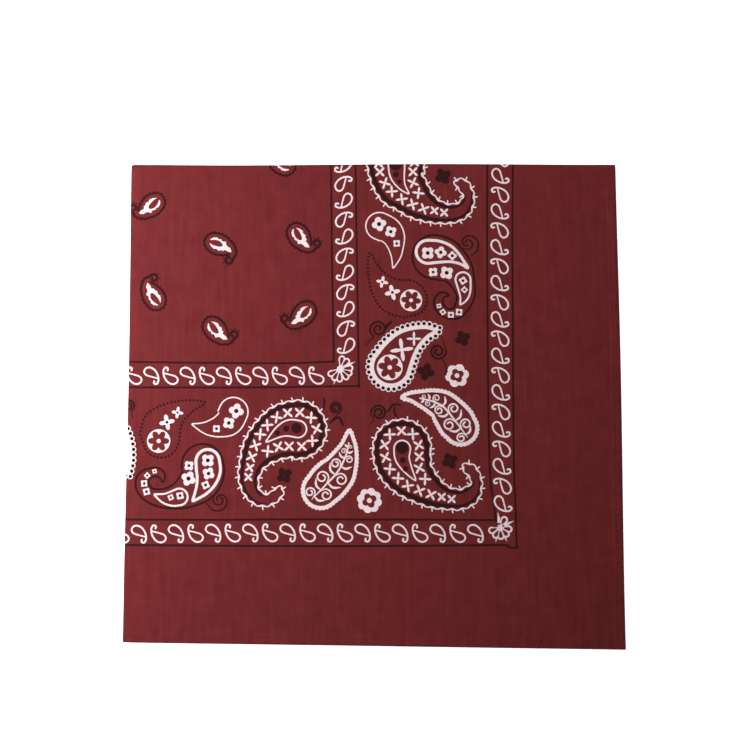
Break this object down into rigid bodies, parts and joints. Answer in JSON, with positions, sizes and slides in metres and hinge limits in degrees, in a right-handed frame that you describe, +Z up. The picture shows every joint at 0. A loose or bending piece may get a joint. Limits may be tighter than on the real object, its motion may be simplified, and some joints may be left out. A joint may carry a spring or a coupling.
{
  "type": "bandana",
  "caption": "Square cotton bandana with hemmed edges and a bordered paisley print, folded in quarters and lying flat.",
  "frame": {"origin": "on the surface the bandana lies on, under the middle of its outline's box", "axes": "+X from the left fold to the free right hems, +Y from the free bottom hems to the top fold, +Z up out of the printed front"},
  "size_m": [0.2748, 0.2662, 0.0057],
  "materials": {
    "printed_cotton": "matt plain-weave cotton, burgundy with white and black print",
    "hem_cotton": "matt burgundy cotton, turned twice and stitched",
    "inner_cotton": "matt burgundy cotton, the hidden layers between the front and the back"
  },
  "bodies": {
    "root": {"front_quarter": "printed_cotton", "front_hem_right": "hem_cotton", "front_hem_bottom": "hem_cotton", "hidden_layers": "inner_cotton", "back_quarter": "printed_cotton", "back_hem_right": "hem_cotton", "back_hem_bottom": "hem_cotton"}
  },
  "joints": []
}
